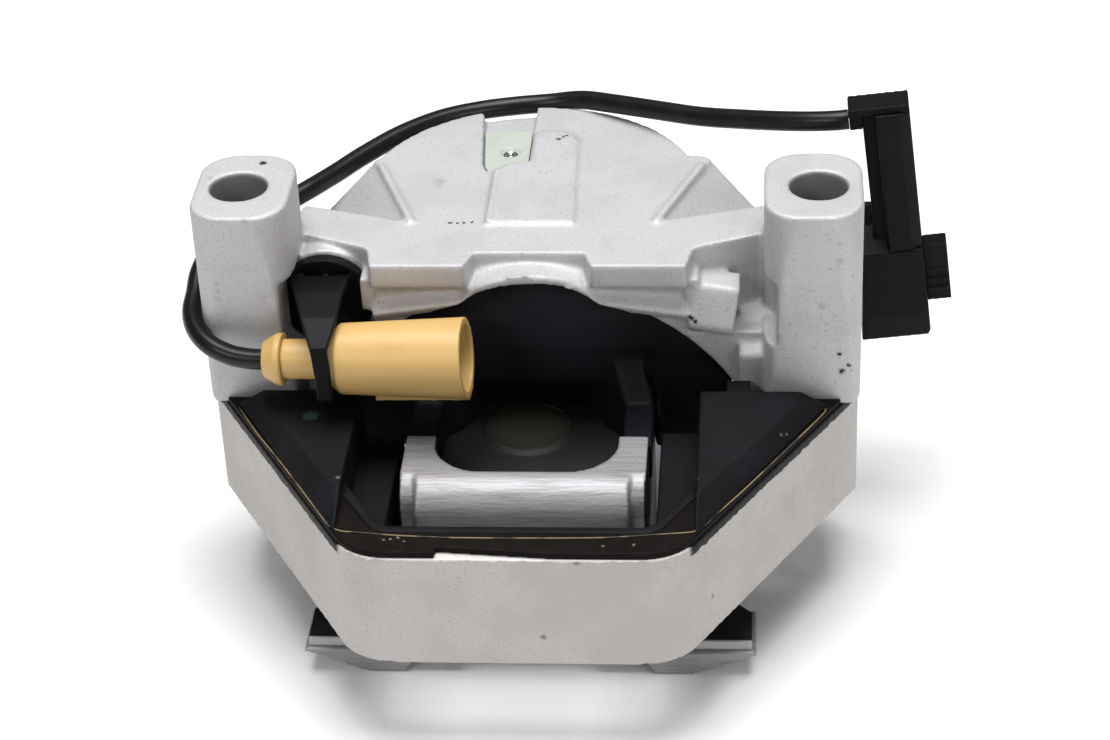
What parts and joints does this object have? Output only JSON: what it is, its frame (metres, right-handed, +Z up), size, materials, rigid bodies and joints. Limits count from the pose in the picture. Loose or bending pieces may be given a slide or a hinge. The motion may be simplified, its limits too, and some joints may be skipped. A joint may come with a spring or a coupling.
{
  "type": "hydraulic engine mount",
  "caption": "Hydraulic engine mount: cast bolt bridge with a fluid chamber, a rubber-borne core inside a lined stop frame, and a clipped electric lead.",
  "frame": {"origin": "midway between the two bolt axes, on the underside plane of the stop frame", "axes": "+X along the bolt line to the control unit's side, +Y from the stop frame towards the fluid chamber, +Z up along the bolt bores"},
  "size_m": [0.18, 0.1481, 0.1056],
  "materials": {
    "cast_aluminium": "fine cast grain, satin",
    "frame_aluminium": "cast, slightly smoother, scuffed",
    "core_aluminium": "cast, brushed across the front",
    "coated_steel": "brown-black coating, satin",
    "black_rubber": "matte moulded rubber",
    "collar_steel": "plain",
    "plate_aluminium": "die cast",
    "white_plastic": "matte, slightly translucent",
    "zinc_steel": "zinc plated",
    "beige_plastic": "satin moulded",
    "black_plastic": "satin moulded",
    "lead_sheath": "glossy sheath",
    "contact_brass": "plain"
  },
  "bodies": {
    "root": {"support_casting": "cast_aluminium", "stop_frame": "frame_aluminium", "stop_cage": "coated_steel", "stop_lining": "black_rubber", "core": "core_aluminium", "left_foot_pad": "black_rubber", "right_foot_pad": "black_rubber", "main_spring": "black_rubber", "spring_collar": "collar_steel", "channel_plate_lower": "plate_aluminium", "channel_plate_upper": "plate_aluminium", "decoupler_membrane": "black_rubber", "bellows": "black_rubber", "bellows_ring": "collar_steel", "vent_plug": "white_plastic", "vent_rivet": "zinc_steel", "connector_shell": "beige_plastic", "connector_cap": "beige_plastic", "connector_insert": "black_plastic", "connector_pins": "contact_brass", "lead_clip": "black_plastic", "lead": "lead_sheath", "unit_housing": "black_plastic", "unit_cover": "black_plastic", "unit_top": "black_plastic", "lead_boot": "black_plastic", "unit_socket": "black_plastic", "unit_pins": "contact_brass", "unit_screws": "zinc_steel"}
  },
  "joints": []
}
